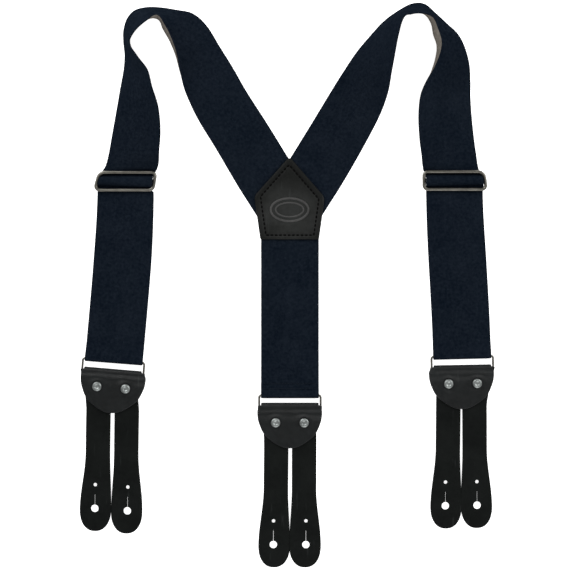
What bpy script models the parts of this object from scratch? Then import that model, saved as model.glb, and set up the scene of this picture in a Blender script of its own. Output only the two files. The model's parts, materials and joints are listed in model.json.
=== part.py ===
"""Y-back work suspenders with three button-on leather ends, lying flat.

The two shoulder straps and the back strap meet under a leather patch. Each shoulder strap stands
on its outer edge where it turns over the shoulder, comes down the front, passes under, over and
under the bars of a slide, folds round a wire ring and returns behind to the slide's centre bar,
where its end is looped. A leather flap folds round the lower bar of each ring, and holds two
button tongues that turn on one rivet each.

Frame: metres, +Z up from the surface that the suspenders lie on, +Y towards the shoulder loops,
+X towards the strap drawn on the right, origin under the middle of the whole.
"""

import math

import bmesh
import bpy
from mathutils import Matrix, Vector

MM = 0.001
GAP = 0.3 * MM  # kept between pieces that touch

# Webbing
WEB_WIDTH = 50.8 * MM  # two-inch webbing
WEB_THICK = 1.3 * MM
WEB_COLUMNS = 4  # faces across the width
LOW_PLY = 0.1 * MM + WEB_THICK / 2  # middle height of a ply on the surface
HIGH_PLY = LOW_PLY + WEB_THICK + GAP  # middle height of a ply that lies on another

# Leather
LEATHER_THICK = 1.6 * MM
TONGUE_THICK = 2.0 * MM
PATCH_BACK_THICK = 1.3 * MM

# Wire hardware
SLIDE_WIRE = 1.5 * MM  # radii
SLIDE_BAR = 0.9 * MM
RING_WIRE = 1.0 * MM
WINDOW = 51.4 * MM  # inner width of a slide
RING_WINDOW = 52.0 * MM  # inner width of a ring
SLIDE_PITCH = 15.4 * MM  # between the middles of a slide's outer bars
RING_PITCH = 11.0 * MM  # between the middles of a ring's bars
SLIDE_LEVEL = HIGH_PLY + WEB_THICK / 2 + GAP + SLIDE_WIRE

# Button ends: heights of the stack, measured up from the surface
CAP_THICK = 0.6 * MM
REAR_LEAF = CAP_THICK + GAP + LEATHER_THICK / 2  # middle of the rear leaf
TONGUE_LEVEL = REAR_LEAF + LEATHER_THICK / 2 + GAP + TONGUE_THICK / 2
FRONT_LEAF = TONGUE_LEVEL + TONGUE_THICK / 2 + GAP + LEATHER_THICK / 2
RING_LEVEL = (REAR_LEAF + FRONT_LEAF) / 2
FOLD_RADIUS = (FRONT_LEAF - REAR_LEAF) / 2  # middle of the leather, round the ring's lower bar
RIVET_BELOW_FOLD = 12.9 * MM  # from the ring's lower bar down to the rivets
RIVET_SPACING = 25.0 * MM
RIVET_HEAD = 4.2 * MM  # radii
RIVET_POST = 1.5 * MM
RIVET_HOLE = RIVET_POST + GAP

# Tongue outline, measured from its rivet
SHANK_HALF = 10.75 * MM
SPOON_OUTER = 15.0 * MM
SPOON_INNER = 12.2 * MM
SPOON_START = 58 * MM
SPOON_WIDEST = 108 * MM
TONGUE_END = 127.4 * MM
BUTTONHOLE_RADIUS = 3.4 * MM
BUTTONHOLE_ABOVE_END = 20 * MM
BUTTONHOLE_OUT = 1.8 * MM  # outwards from the tongue's axis
SLIT_LENGTH = 9 * MM
SLIT_HALF = 0.5 * MM
STOP_HOLE_RADIUS = 1.55 * MM
STOP_HOLE_ABOVE = 20.8 * MM  # above the buttonhole

# Where things lie in plan
SLIDES = {"left": (-141.3 * MM, 91.0 * MM), "right": (147.8 * MM, 91.6 * MM)}
# Middle between the two rivets of each button end, and how far the end is turned, in degrees.
ENDS = {
    "left": (-153.6 * MM, -89.9 * MM, -4.8),
    "back": (3.0 * MM, -120.7 * MM, 0.0),
    "right": (154.6 * MM, -86.4 * MM, 1.0),
}
# How far each pair of tongues is turned against its flap, in degrees.
TONGUE_TURN = {"left": 4.1, "back": 0.0, "right": -1.0}
TONGUE_NAMES = {
    "left": ("left_outer", "left_inner"),
    "back": ("back_left", "back_right"),
    "right": ("right_inner", "right_outer"),
}

# The shoulder straps, from the patch to the slide. Each station gives the spot of the outer edge
# (x, y in mm), the heading of the width in plan, the lean of the width (0 lies flat, 90 stands
# on the outer edge), how far the width curls from edge to edge (degrees), and the height of the
# outer edge (mm).
LOW = LOW_PLY / MM
HIGH = HIGH_PLY / MM
LEFT_LOOP = (
    (2, 111, -148, 0, 0, HIGH),
    (-17, 142, -148, 2, 0, LOW),
    (-35, 170, -146, 12, 4, LOW),
    (-47, 191, -145, 20, 20, LOW),
    (-59, 209, -143, 31, 55, LOW),
    (-71, 227, -136, 41, 75, LOW),
    (-83, 238, -129, 53, 75, LOW),
    (-97, 242, -114, 66, 60, LOW),
    (-111, 244, -88, 73, 40, LOW),
    (-124, 244, -76, 68, 20, LOW),
    (-134, 241, -70, 64, 10, LOW),
    (-140, 234, -65, 65, 5, LOW),
    (-143, 224, -59, 69, 5, LOW),
    (-143, 213, -45, 73, 5, LOW),
    (-142, 202, -26, 71, 5, LOW),
    (-143, 189, -12, 61, 5, LOW),
    (-146, 173, -7, 52, 5, LOW),
    (-149, 156, -5, 40, 5, LOW),
    (-154, 134, -2, 28, 5, LOW),
    (-160, 115, -1, 14, 3, LOW),
    (-166.7, 100.6, 0, 0, 0, HIGH),
)
RIGHT_LOOP = (
    (3, 111, -32, 0, 0, HIGH),
    (22, 142, -32, 2, 0, LOW),
    (39, 170, -34, 14, 0, LOW),
    (51, 189, -35, 30, -5, LOW),
    (62, 205, -38, 45, -10, LOW),
    (73, 218, -42, 58, -10, LOW),
    (85, 231, -58, 67, -10, LOW),
    (97, 240, -84, 73, -5, LOW),
    (110, 247, -102, 71, 0, LOW),
    (121, 247, -106, 70, 10, LOW),
    (130, 240, -112, 75, 40, LOW),
    (140, 231, -131, 72, 75, LOW),
    (150, 220, -147, 62, 85, LOW),
    (156, 208, -159, 53, 80, LOW),
    (160, 194, -167, 43, 60, LOW),
    (161, 179, -175, 34, 35, LOW),
    (161, 165, -177, 24, 15, LOW),
    (163, 147, -178, 18, 5, LOW),
    (166, 128, -179, 12, 0, LOW),
    (170, 111, -179, 6, 0, LOW),
    (173.2, 101, -180, 0, 0, HIGH),
)
ROWS_PER_STATION = 2
# The mitred ends under the patch: outer and inner corner (mm).
LEFT_MITRE = ((2, 60), (-25.7, 60))
RIGHT_MITRE = ((3, 60), (30.7, 60))

PATCH_OUTLINE = ((2.5, 112.5), (-28, 76), (-23, 40), (28.5, 40), (33, 76))  # mm
PATCH_CORNER = 2.5 * MM
BACK_STRAP_TOP = 59.3 * MM  # under the patch, just below the mitred ends
BACK_RETURN = 22 * MM  # length of the back strap's folded end

# The flap's outline: distance below the top of its fold, and half width there (mm).
FLAP_OUTLINE = (
    (38.3, 1.8),
    (37.4, 6),
    (34.4, 12.2),
    (29.2, 19.3),
    (24.4, 23.4),
    (19.5, 25.8),
    (14, 27.4),
    (8.5, 28),
    (4.8, 28.1),
    (4.5, 25.3),
    (2.9, 25.3),
)


def clear_scene():
    for item in list(bpy.data.objects):
        bpy.data.objects.remove(item, do_unlink=True)


def make_collection(name):
    group = bpy.data.collections.new(name)
    bpy.context.scene.collection.children.link(group)
    return group


def make_material(name, colour, roughness, metallic=0.0):
    material = bpy.data.materials.new(name)
    material.use_nodes = True
    shader = material.node_tree.nodes["Principled BSDF"]
    shader.inputs["Base Color"].default_value = (*colour, 1.0)
    shader.inputs["Roughness"].default_value = roughness
    shader.inputs["Metallic"].default_value = metallic
    return material


def add_object(name, data, material, parent=None, location=(0, 0, 0), turn=0.0):
    """Link an object to the model, on its parent, with its location and its turn about Z."""
    item = bpy.data.objects.new(name, data)
    PARTS.objects.link(item)
    item.data.materials.append(material)
    item.parent = parent
    item.location = location
    item.rotation_euler[2] = math.radians(turn)
    return item


def add_pivot(name, location, turn=0.0, parent=None):
    """An empty on a joint's axis."""
    pivot = bpy.data.objects.new(name, None)
    PARTS.objects.link(pivot)
    pivot.empty_display_size = 0.01
    pivot.parent = parent
    pivot.location = location
    pivot.rotation_euler[2] = math.radians(turn)
    return pivot


# ---------------------------------------------------------------- webbing


def catmull_rom(points, per_span):
    """Points on a smooth curve through the given points, of any dimension."""
    last = len(points) - 1
    out = []
    for i in range(last):
        p0, p1, p2, p3 = (points[min(max(i + k, 0), last)] for k in (-1, 0, 1, 2))
        for step in range(per_span):
            t = step / per_span
            out.append(
                tuple(
                    0.5 * (2 * b + (c - a) * t + (2 * a - 5 * b + 4 * c - d) * t**2
                           + (3 * b - a - 3 * c + d) * t**3)
                    for a, b, c, d in zip(p0, p1, p2, p3)
                )
            )
    out.append(tuple(points[-1]))
    return out


def curled_row(x, y, heading, lean, curl, height):
    """One row across the webbing: it starts on the outer edge, and leans and curls inwards."""
    start = Vector((x * MM, y * MM, height * MM))
    across = Vector((math.cos(math.radians(heading)), math.sin(math.radians(heading)), 0))
    step = WEB_WIDTH / WEB_COLUMNS
    row = [start]
    for column in range(WEB_COLUMNS):
        share = (column + 0.5) / WEB_COLUMNS
        slope = math.radians(lean + curl * (share - 0.5))
        row.append(row[-1] + step * (across * math.cos(slope) + Vector((0, 0, math.sin(slope)))))
    return row


def mitre_row(corners):
    outer, inner = (Vector((x * MM, y * MM, HIGH_PLY)) for x, y in corners)
    return [outer.lerp(inner, column / WEB_COLUMNS) for column in range(WEB_COLUMNS + 1)]


def leg_path(start, end, end_turn):
    """A plan path that leaves start straight down and reaches end along end_turn.

    Returns its length, and a function from the distance along it to a point and a turn.
    """
    slant = math.radians(end_turn)
    reach = (end - start).length / 3
    leave = start - Vector((0, reach))
    arrive = end + Vector((-math.sin(slant), math.cos(slant))) * reach
    samples = 64
    points = []
    for i in range(samples + 1):
        t = i / samples
        near = start * (1 - t) ** 3 + leave * 3 * t * (1 - t) ** 2
        points.append(near + arrive * 3 * t**2 * (1 - t) + end * t**3)
    lengths = [0.0]
    for a, b in zip(points, points[1:]):
        lengths.append(lengths[-1] + (b - a).length)

    def at(distance):
        i = 0
        while i < samples - 1 and lengths[i + 1] < distance:
            i += 1
        run = points[i + 1] - points[i]
        spot = points[i] + run.normalized() * (distance - lengths[i])
        return spot, math.atan2(run.x, -run.y)

    return lengths[-1], at


def flat_row(spot, turn, height, outer_side):
    """A level row across a strap, from its outer edge (-1 left, +1 right) to its inner edge."""
    across = Vector((math.cos(turn), math.sin(turn), 0)) * -outer_side
    middle = Vector((spot.x, spot.y, height))
    return [
        middle + across * WEB_WIDTH * (column / WEB_COLUMNS - 0.5)
        for column in range(WEB_COLUMNS + 1)
    ]


def ease(t):
    t = min(max(t, 0.0), 1.0)
    return t * t * (3 - 2 * t)


def arc(centre, radius, first, last, steps):
    """Points (distance, height) on an arc in the side view, angles in degrees."""
    out = []
    for i in range(steps + 1):
        angle = math.radians(first + (last - first) * i / steps)
        out.append((centre[0] + radius * math.cos(angle), centre[1] + radius * math.sin(angle)))
    return out


def over_slide_bar():
    """Side view of the front ply: under the frame, over the sewn loop, under the frame."""
    loop_outer = SLIDE_BAR + GAP + WEB_THICK
    radius = loop_outer + GAP + WEB_THICK / 2
    climb = [
        (-9.5 * MM, HIGH_PLY),
        (-6.4 * MM, HIGH_PLY),
        (-5.0 * MM, HIGH_PLY + 0.35 * MM),
        (-3.9 * MM, SLIDE_LEVEL - 1.2 * MM),
    ]
    drop = [(-distance, height) for distance, height in reversed(climb)]
    return climb + arc((0, SLIDE_LEVEL), radius, 180, 0, 6) + drop


def round_ring(length, low_end, steps=4):
    """Side view round the ring's upper bar: the front ply lifts to it, the rear ply leaves it."""
    reach = 16 * MM
    radius = RING_WIRE + GAP + WEB_THICK / 2
    top, bottom = RING_LEVEL + radius, RING_LEVEL - radius
    down = [
        (length - reach * (1 - i / steps), HIGH_PLY + (top - HIGH_PLY) * ease(i / steps))
        for i in range(steps)
    ]
    back = [
        (length - reach * i / steps, low_end + (bottom - low_end) * ease(1 - i / steps))
        for i in range(1, steps + 1)
    ]
    return down + arc((length, RING_LEVEL), radius, 90, -90, 6) + back


def round_slide_bar():
    """Side view of the strap's end: it lifts from the surface and loops round the centre bar."""
    radius = SLIDE_BAR + GAP + WEB_THICK / 2
    lift = [(6.5, 0.75), (4.5, 1.1), (3.0, 1.75), (1.5, 2.55)]
    lift = [(distance * MM, height * MM) for distance, height in lift]
    return lift + arc((0, SLIDE_LEVEL), radius, -90, -360, 8)


def straight(first, last, height, steps):
    return [(first + (last - first) * i / steps, height) for i in range(1, steps)]


def ribbon(name, rows, material):
    """A strip of webbing: an open sheet through the rows, thickened."""
    mesh = bpy.data.meshes.new(name)
    sheet = bmesh.new()
    grid = [[sheet.verts.new(point) for point in row] for row in rows]
    for upper, lower in zip(grid, grid[1:]):
        for column in range(len(upper) - 1):
            sheet.faces.new(
                (upper[column], upper[column + 1], lower[column + 1], lower[column])
            )
    sheet.to_mesh(mesh)
    sheet.free()
    strip = add_object(name, mesh, material)
    thicken = strip.modifiers.new("thickness", "SOLIDIFY")
    thicken.thickness = WEB_THICK
    thicken.offset = 0
    thicken.use_even_offset = True
    return strip


def ring_spot(side):
    """The middle of a ring's upper bar in plan."""
    x, y, turn = ENDS[side]
    up = Vector((-math.sin(math.radians(turn)), math.cos(math.radians(turn))))
    return Vector((x, y)) + up * (RIVET_BELOW_FOLD + RING_PITCH)


def shoulder_strap(side, stations, mitre, material):
    outer_side = -1 if side == "left" else 1
    rows = [mitre_row(mitre)]
    rows += [curled_row(*station) for station in catmull_rom(stations, ROWS_PER_STATION)[:-1]]
    length, at = leg_path(Vector(SLIDES[side]), ring_spot(side), ENDS[side][2])
    profile = over_slide_bar()
    profile += straight(profile[-1][0], length - 16 * MM, HIGH_PLY, 6)
    profile += round_ring(length, LOW_PLY)
    profile += straight(length - 16 * MM, 6.5 * MM, LOW_PLY, 6)
    profile += round_slide_bar()
    for distance, height in profile:
        spot, turn = at(distance)
        rows.append(flat_row(spot, turn, height, outer_side))
    return ribbon(f"shoulder_strap_{side}", rows, material)


def back_strap(material):
    end = ring_spot("back")
    length, at = leg_path(Vector((end.x, BACK_STRAP_TOP)), end, 0.0)
    under_patch = 24 * MM
    settle = 44 * MM
    profile = [(0, HIGH_PLY), (under_patch, HIGH_PLY)]
    profile += [
        (under_patch + (settle - under_patch) * i / 3, HIGH_PLY + (LOW_PLY - HIGH_PLY) * ease(i / 3))
        for i in (1, 2, 3)
    ]
    rise = length - BACK_RETURN - 20 * MM
    profile += [(rise, LOW_PLY), (length - BACK_RETURN - 6 * MM, HIGH_PLY)]
    profile += round_ring(length, LOW_PLY)
    profile.append((length - BACK_RETURN, LOW_PLY))
    rows = [flat_row(*at(distance), height, 1) for distance, height in profile]
    return ribbon("back_strap", rows, material)


# ---------------------------------------------------------------- flat leather and wire


def rounded_corners(points, radius, steps=4):
    """A closed outline through the points, with each corner rounded."""
    out = []
    count = len(points)
    for i, corner in enumerate(points):
        before = (points[i - 1] - corner).normalized()
        after = (points[(i + 1) % count] - corner).normalized()
        half = before.angle(after) / 2
        centre = corner + (before + after).normalized() * (radius / math.sin(half))
        reach = radius / math.tan(half)
        first = corner + before * reach - centre
        last = corner + after * reach - centre
        sweep = first.angle_signed(last)
        for step in range(steps + 1):
            out.append(centre + Matrix.Rotation(-sweep * step / steps, 2) @ first)
    return out


def curve_data(name, dimensions, outlines, cyclic=True):
    data = bpy.data.curves.new(name, "CURVE")
    data.dimensions = dimensions
    for outline in outlines:
        spline = data.splines.new("POLY")
        spline.points.add(len(outline) - 1)
        for knot, point in zip(spline.points, outline):
            knot.co = (*point, 0, 1) if len(point) == 2 else (*point, 1)
        spline.use_cyclic_u = cyclic
    return data


def flat_plate(name, outlines, thickness, material, **where):
    """A flat piece cut to an outline; further outlines are its holes."""
    data = curve_data(name, "2D", outlines)
    data.fill_mode = "BOTH"
    data.extrude = thickness / 2
    return add_object(name, data, material, **where)


def wire(name, points, radius, material, cyclic=True, **where):
    data = curve_data(name, "3D", [points], cyclic)
    data.bevel_depth = radius
    data.bevel_resolution = 2
    data.use_fill_caps = not cyclic
    return add_object(name, data, material, **where)


def rectangle(half_width, top, bottom):
    return [
        Vector((half_width, top)),
        Vector((-half_width, top)),
        Vector((-half_width, bottom)),
        Vector((half_width, bottom)),
    ]


def circle(centre, radius, steps=12, start=0.0, sweep=360.0):
    """Points round a circle, or along part of it when sweep is less."""
    full = abs(sweep) >= 360
    out = []
    for i in range(steps if full else steps + 1):
        angle = math.radians(start + sweep * i / steps)
        out.append(
            Vector((centre[0] + radius * math.cos(angle), centre[1] + radius * math.sin(angle)))
        )
    return out


def patch(material):
    corners = [Vector((x * MM, y * MM)) for x, y in PATCH_OUTLINE]
    outline = rounded_corners(corners, PATCH_CORNER)
    top = HIGH_PLY + WEB_THICK / 2 + GAP + LEATHER_THICK / 2
    bottom = HIGH_PLY - WEB_THICK / 2 - GAP - PATCH_BACK_THICK / 2
    flat_plate("patch_front", [outline], LEATHER_THICK, material, location=(0, 0, top))
    flat_plate("patch_back", [outline], PATCH_BACK_THICK, material, location=(0, 0, bottom))


def slide(side, metal):
    """A wire slide: its frame, and the centre bar that the strap's end loops round."""
    pivot = add_pivot(f"slide_{side}", (*SLIDES[side], SLIDE_LEVEL))
    half = WINDOW / 2 + SLIDE_WIRE
    frame = rounded_corners(rectangle(half, SLIDE_PITCH / 2, -SLIDE_PITCH / 2), 3.6 * MM)
    wire(f"slide_frame_{side}", frame, SLIDE_WIRE, metal, parent=pivot)
    reach = WINDOW / 2 - GAP
    bar = [Vector((-reach, 0)), Vector((reach, 0))]
    wire(f"slide_bar_{side}", bar, SLIDE_BAR, metal, cyclic=False, parent=pivot)


def ring(side, metal):
    """A wire ring that hangs on the strap by its upper bar. Returns the pivot on that bar."""
    turn = ENDS[side][2]
    pivot = add_pivot(f"ring_axis_{side}", (*ring_spot(side), RING_LEVEL), turn)
    half = RING_WINDOW / 2 + RING_WIRE
    outline = rounded_corners(rectangle(half, 0, -RING_PITCH), 2.0 * MM)
    wire(f"ring_{side}", outline, RING_WIRE, metal, parent=pivot)
    return pivot


# ---------------------------------------------------------------- button ends


def flap(side, leather, pivot):
    """A D-shaped flap folded round the ring's lower bar, which is its own origin."""
    rows = []
    for distance, half in FLAP_OUTLINE:
        rows.append((FOLD_RADIUS + LEATHER_THICK / 2 - distance * MM, FOLD_RADIUS, half * MM))
    fold_half = FLAP_OUTLINE[-1][1] * MM
    for along, height in arc((0, 0), FOLD_RADIUS, 90, -90, 6)[1:-1]:
        rows.append((along, height, fold_half))
    rows += [(along, -height, half) for along, height, half in reversed(rows[: len(FLAP_OUTLINE)])]
    columns = 4
    mesh = bpy.data.meshes.new(f"flap_{side}")
    sheet = bmesh.new()
    grid = []
    for along, height, half in rows:
        spread = [2 * column / columns - 1 for column in range(columns + 1)]
        grid.append([sheet.verts.new((half * share, along, height)) for share in spread])
    for upper, lower in zip(grid, grid[1:]):
        for column in range(columns):
            sheet.faces.new((upper[column], lower[column], lower[column + 1], upper[column + 1]))
    sheet.to_mesh(mesh)
    sheet.free()
    piece = add_object(f"flap_{side}", mesh, leather, parent=pivot)
    thicken = piece.modifiers.new("thickness", "SOLIDIFY")
    thicken.thickness = LEATHER_THICK
    thicken.offset = 0
    thicken.use_even_offset = True
    for number, across in enumerate((-RIVET_SPACING / 2, RIVET_SPACING / 2)):
        hole = rivet_cutter(f"cut_{side}_{number}", across, pivot)
        cut = piece.modifiers.new(f"rivet_hole_{number}", "BOOLEAN")
        cut.operation = "DIFFERENCE"
        cut.solver = "EXACT"
        cut.object = hole
    return piece


def rivet_cutter(name, across, pivot):
    mesh = bpy.data.meshes.new(name)
    shape = bmesh.new()
    bmesh.ops.create_cone(
        shape, cap_ends=True, segments=12, radius1=RIVET_HOLE, radius2=RIVET_HOLE, depth=20 * MM
    )
    shape.to_mesh(mesh)
    shape.free()
    cutter = bpy.data.objects.new(name, mesh)
    CUTTERS.objects.link(cutter)
    cutter.hide_render = True
    cutter.display_type = "WIRE"
    cutter.parent = pivot
    cutter.location = (across, -RIVET_BELOW_FOLD, 0)
    return cutter


def tongue_outline(outward):
    """The tongue round its rivet at the origin; outward is -1 or +1 along X."""

    def side(limit):
        """One edge, going down: straight, then out to the spoon."""
        steps = 5
        return [
            (SHANK_HALF + (limit - SHANK_HALF) * ease(i / steps),
             -SPOON_START - (SPOON_WIDEST - SPOON_START) * i / steps)
            for i in range(steps + 1)
        ]

    depth = TONGUE_END - SPOON_WIDEST
    middle = (SPOON_OUTER - SPOON_INNER) / 2
    radius = (SPOON_OUTER + SPOON_INNER) / 2
    squareness = 0.88  # under 1 fills out the rounded end
    tip = []
    steps = 12
    for i in range(1, steps):
        angle = math.pi * i / steps
        across = math.copysign(abs(math.cos(angle)) ** squareness, math.cos(angle))
        tip.append((middle + radius * across, -SPOON_WIDEST - depth * math.sin(angle)**squareness))
    top = circle((0, 0), SHANK_HALF, 8, 180, -180)
    outer = side(SPOON_OUTER)
    inner = [(-across, along) for across, along in reversed(side(SPOON_INNER))]
    loop = [tuple(point) for point in top] + outer + tip + inner
    return [Vector((outward * across, along)) for across, along in loop]


def buttonhole(outward):
    """A round hole with a slit above it, and the small stop hole in line with the slit."""
    across = outward * BUTTONHOLE_OUT
    low = -TONGUE_END + BUTTONHOLE_ABOVE_END
    opening = math.degrees(math.asin(SLIT_HALF / BUTTONHOLE_RADIUS))
    key = circle((across, low), BUTTONHOLE_RADIUS, 14, 90 + opening, 360 - 2 * opening - 0.001)
    top = low + BUTTONHOLE_RADIUS + SLIT_LENGTH
    key += [Vector((across + SLIT_HALF, top)), Vector((across - SLIT_HALF, top))]
    stop = circle((across, low + STOP_HOLE_ABOVE), STOP_HOLE_RADIUS, 10)
    return key, stop


def turned(name, profile, steps, material, **where):
    """A piece turned about Z from its profile (radius, height in mm), given top to bottom."""
    mesh = bpy.data.meshes.new(name)
    outline = bmesh.new()
    knots = [outline.verts.new((radius * MM, 0, height * MM)) for radius, height in profile]
    for upper, lower in zip(knots, knots[1:]):
        outline.edges.new((upper, lower))
    outline.to_mesh(mesh)
    outline.free()
    piece = add_object(name, mesh, material, **where)
    spin = piece.modifiers.new("turning", "SCREW")
    spin.axis = "Z"
    spin.steps = steps
    spin.render_steps = steps
    spin.use_merge_vertices = True
    spin.merge_threshold = 0.00002
    return piece


def rivet(name, across, metal, pivot):
    """The rivet's dished head and post, and the plain cap behind."""
    head_base = (FRONT_LEAF + LEATHER_THICK / 2 + GAP) / MM
    post_end = (CAP_THICK + GAP) / MM
    post = RIVET_POST / MM
    head = RIVET_HEAD / MM
    profile = [
        (0, head_base + 0.95),
        (1.6, head_base + 1.0),
        (2.5, head_base + 1.4),
        (3.5, head_base + 1.15),
        (head, head_base + 0.35),
        (head, head_base),
        (post, head_base),
        (post, post_end),
        (0, post_end),
    ]
    where = {"parent": pivot, "location": (across, -RIVET_BELOW_FOLD, -RING_LEVEL)}
    turned(f"rivet_{name}", profile, 16, metal, **where)
    top = CAP_THICK / MM
    cap = [(0, top), (head - 0.3, top), (head, top - 0.3), (head, 0), (0, 0)]
    turned(f"rivet_cap_{name}", cap, 16, metal, **where)


def tongue(name, side, outward, leather, pivot):
    data_outlines = [tongue_outline(outward), *buttonhole(outward)]
    data_outlines.append(circle((0, 0), RIVET_HOLE, 12))
    flat_plate(
        f"tongue_{name}",
        data_outlines,
        TONGUE_THICK,
        leather,
        parent=pivot,
        location=(outward * RIVET_SPACING / 2, -RIVET_BELOW_FOLD, TONGUE_LEVEL - RING_LEVEL),
        turn=TONGUE_TURN[side],
    )


def button_end(side, leather, metal):
    """A ring with the flap, rivets and tongues that hang on it."""
    upper = ring(side, metal)
    pivot = add_pivot(f"tab_axis_{side}", (0, -RING_PITCH, 0), parent=upper)
    flap(side, leather, pivot)
    for name, outward in zip(TONGUE_NAMES[side], (-1, 1)):
        tongue(name, side, outward, leather, pivot)
        rivet(name, outward * RIVET_SPACING / 2, metal, pivot)


clear_scene()
PARTS = make_collection("suspenders")
CUTTERS = make_collection("cutters")
NAVY = make_material("navy_webbing", (0.008, 0.011, 0.017), 0.9)
PATCH = make_material("patch_leather", (0.014, 0.015, 0.015), 0.5)
BLACK = make_material("black_leather", (0.010, 0.011, 0.011), 0.45)
GUNMETAL = make_material("gunmetal", (0.16, 0.16, 0.15), 0.35, 1.0)
NICKEL = make_material("rivet_nickel", (0.45, 0.46, 0.46), 0.35, 1.0)

shoulder_strap("left", LEFT_LOOP, LEFT_MITRE, NAVY)
shoulder_strap("right", RIGHT_LOOP, RIGHT_MITRE, NAVY)
back_strap(NAVY)
patch(PATCH)
for side_name in ("left", "right"):
    slide(side_name, GUNMETAL)
for side_name in ("left", "back", "right"):
    button_end(side_name, BLACK, NICKEL)
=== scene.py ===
"""Looks of a pair of Y-back work suspenders, laid flat. Metres, +Z up from the surface."""

import json
import math
import random

import bmesh
import bpy
from mathutils import Matrix, Vector, noise


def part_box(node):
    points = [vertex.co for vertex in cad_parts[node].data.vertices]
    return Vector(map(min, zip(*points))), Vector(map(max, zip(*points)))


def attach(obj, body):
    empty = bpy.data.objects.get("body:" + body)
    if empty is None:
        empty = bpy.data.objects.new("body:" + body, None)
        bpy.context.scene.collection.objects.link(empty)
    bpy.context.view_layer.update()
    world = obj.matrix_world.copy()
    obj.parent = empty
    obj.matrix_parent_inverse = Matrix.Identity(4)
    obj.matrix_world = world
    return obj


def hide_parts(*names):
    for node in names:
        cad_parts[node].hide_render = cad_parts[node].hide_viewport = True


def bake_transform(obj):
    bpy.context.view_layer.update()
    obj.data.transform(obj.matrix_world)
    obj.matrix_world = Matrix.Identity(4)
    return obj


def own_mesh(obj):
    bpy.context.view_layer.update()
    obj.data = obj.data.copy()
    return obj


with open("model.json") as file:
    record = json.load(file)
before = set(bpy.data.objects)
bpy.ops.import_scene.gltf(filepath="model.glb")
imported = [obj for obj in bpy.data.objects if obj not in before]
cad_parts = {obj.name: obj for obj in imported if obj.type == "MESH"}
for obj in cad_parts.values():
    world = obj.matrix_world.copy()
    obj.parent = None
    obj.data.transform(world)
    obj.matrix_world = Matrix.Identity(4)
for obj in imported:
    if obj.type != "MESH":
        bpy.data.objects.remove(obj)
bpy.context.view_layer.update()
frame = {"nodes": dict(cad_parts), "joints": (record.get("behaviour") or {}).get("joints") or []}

MM = 0.001
JOINTS = {joint["name"]: joint for joint in frame["joints"]}
SIDES = ("left", "right")
random.seed(7)

# Webbing
WEB_WIDTH = 50.8 * MM
WEB_THICK = 1.3 * MM
SELVEDGE_ROUND = 0.55 * MM
RIM_COLUMNS = 4  # a sheet's lower face keeps the upper one's material this close to its sides
SELVEDGE_BEAD = 0.05  # share of its thickness by which the webbing is thicker there
STITCH_SKEW = 0.08 * MM
ALONG_STEP = 4.0 * MM  # rows of a strap's straight parts are about this far apart
LOW_PLY = 0.75 * MM  # middle height of a ply on the surface
HIGH_PLY = 2.35 * MM  # middle height of a ply that lies on another
RING_REACH = 16 * MM  # over this length a strap rises to its ring
STILL_ABOVE_RING = 6 * MM  # a slide's travel doesn't move the webbing below this
SQUARE_REACH = 12 * MM  # rows turn square to the slide's travel over this length

# Leather
LEATHER_THICK = 1.6 * MM
TONGUE_THICK = 2.0 * MM
GAP = 0.3 * MM  # kept between pieces that touch

# Wire
SLIDE_WIRE = 1.5 * MM  # radii
SLIDE_BAR = 0.9 * MM
RING_WIRE = 1.0 * MM
SLIDE_PITCH = 15.4 * MM  # between the upper and lower bars
RING_PITCH = 11.0 * MM
RING_WINDOW = 52.0 * MM  # between the sides
RING_CORNERS = (2.0, 2.0, 2.0, 2.0)  # radii, mm
SLIDE_WINDOW = 51.4 * MM

# Button ends
RIVET_BELOW_FOLD = 12.9 * MM  # from the ring's lower bar down to the rivets
RIVET_SPACING = 25.0 * MM
RIVET_HEAD = 4.2 * MM
RIVET_POST = 1.5 * MM
RING_LEVEL = 3.8 * MM  # middle heights of the ring's wire, the flap's front leaf and the tongues
FRONT_LEAF = 5.9 * MM
TONGUE_LEVEL = 3.8 * MM
TONGUE_ROWS = 32  # of points, so that a tongue's faces can bend
TONGUES = {
    "left": (("left_outer", -1), ("left_inner", 1)),
    "back": (("back_left", -1), ("back_right", 1)),
    "right": (("right_inner", -1), ("right_outer", 1)),
}
END_TURN = {"left": -4.8, "back": 0.0, "right": 1.0}  # degrees, of each button end in plan
TONGUE_TURN = {"left": 4.1, "back": 0.0, "right": -1.0}  # degrees, against its flap

# The shoulder straps from the patch to the slide. Each station is (outer edge x, outer edge y,
# heading of the width, lean of the width, curl from edge to edge, tuck of the inner edge, share
# of the full width, height of the outer edge), in millimetres and degrees. A lean of 0 lies
# flat, and 90 stands on the outer edge. The tuck bends only the last part before the inner edge.
# The last two are left out where they are 1 and LOW.
LOW = LOW_PLY / MM
HIGH = HIGH_PLY / MM
LEFT_LOOP = (
    (2, 111, -148, 0, 0, 0, 1, HIGH),
    (-17, 142, -148, 9, 0, 0),
    (-35, 170, -146, 13, 2, 0),
    (-47, 191, -145, 14, 6, 25),
    (-58.5, 209.5, -143, 12, 14, 90),
    (-70, 228, -136, 20, 22, 112),
    (-82.3, 238.8, -129, 36, 46, 88),
    (-97, 242, -114, 55, 40, 68),
    (-111, 244, -88, 69, 36, 34),
    (-124, 244, -76, 68, 20, 0),
    (-134, 241, -70, 64, 10, 0),
    (-140, 234, -65, 65, 5, 0),
    (-143, 224, -59, 69, 5, 0),
    (-143, 213, -45, 73, 5, 0),
    (-142, 202, -26, 71, 5, 0),
    (-143, 189, -12, 61, 5, 0),
    (-146, 173, -7, 52, 5, 0),
    (-149, 156, -5, 40, 5, 0),
    (-153, 134, -2, 29, 5, 0, 0.99, LOW),
    (-156.2, 116, -1, 21, 4, 0, 0.96, 0.9),
    (-158.8, 105.5, 0, 9, 2, 0, 0.935, 1.6),
    (-161.5, 100.6, 0, 0, 0, 0, 0.93, HIGH),
)
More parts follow.
